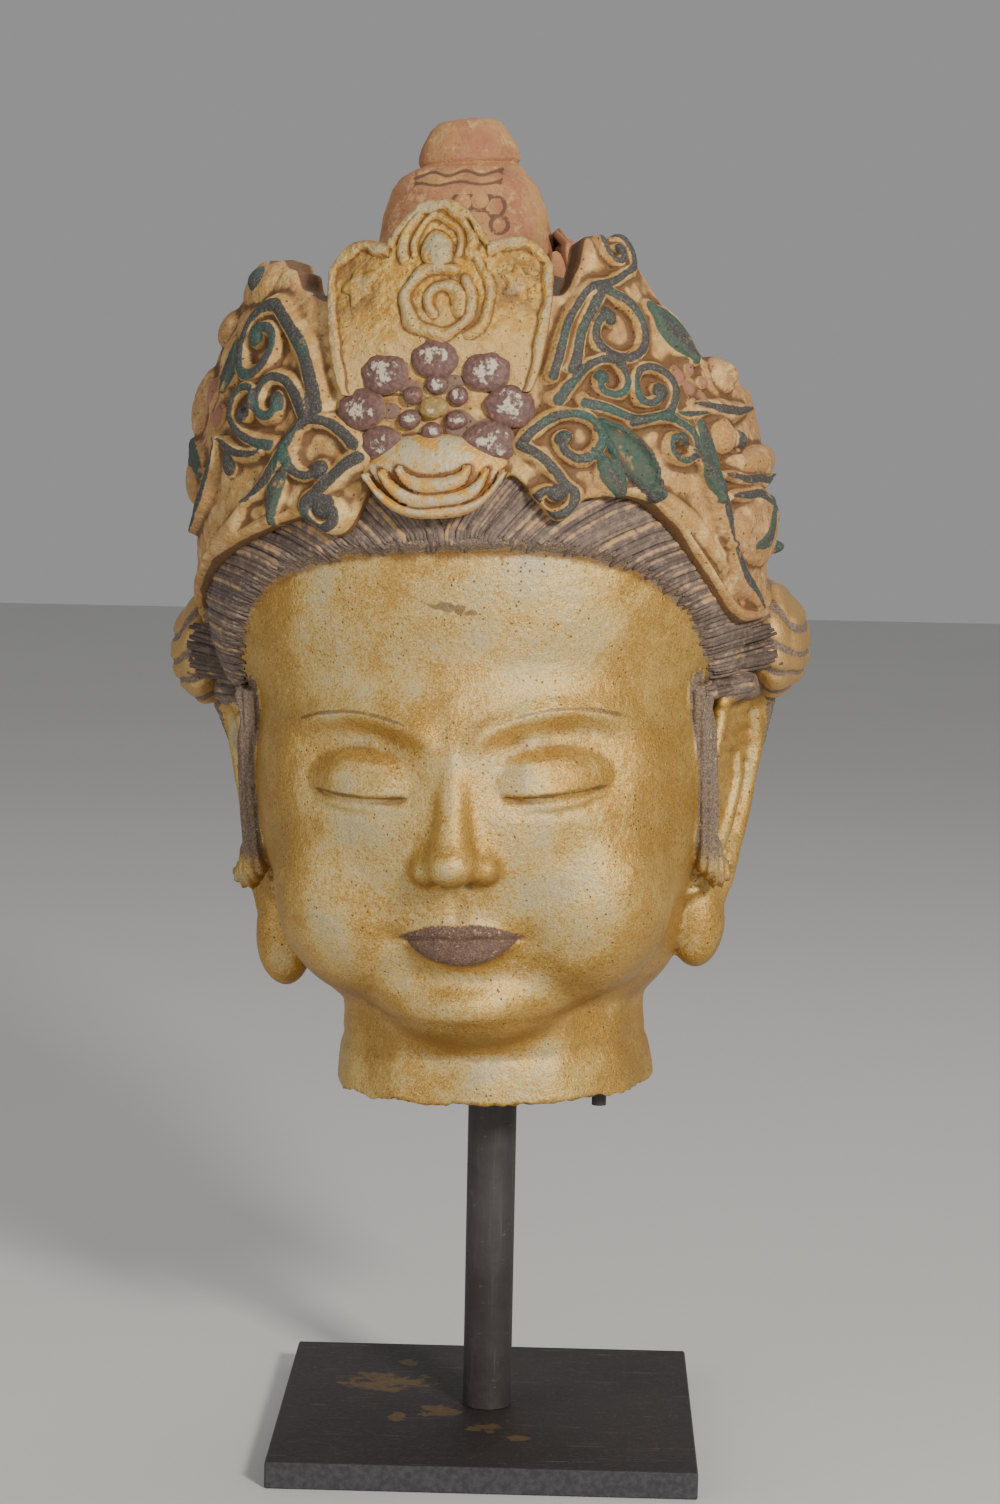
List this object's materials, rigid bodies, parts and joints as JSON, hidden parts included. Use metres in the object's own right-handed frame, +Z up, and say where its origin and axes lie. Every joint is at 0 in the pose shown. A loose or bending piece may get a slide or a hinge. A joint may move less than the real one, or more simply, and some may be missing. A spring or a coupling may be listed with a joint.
{
  "type": "bodhisattva head on a display stand",
  "caption": "Carved and painted head of a crowned bodhisattva with long ear lobes and a topknot, standing on a dark steel post and square plate.",
  "frame": {"origin": "middle of the base plate's underside", "axes": "+Z up along the post, the face looks along -Y, +X to the right as one looks at the face"},
  "size_m": [0.3142, 0.2841, 0.6436],
  "materials": {
    "painted_plaster": "worn gilding and mineral paint over a clay body",
    "dark_steel": "blackened, satin",
    "dark_steel_plate": "blackened, satin, rubbed through to brown and bare metal in places"
  },
  "bodies": {
    "root": {"head": "painted_plaster", "post": "dark_steel", "base_plate": "dark_steel_plate", "locating_pin": "dark_steel"}
  },
  "joints": []
}
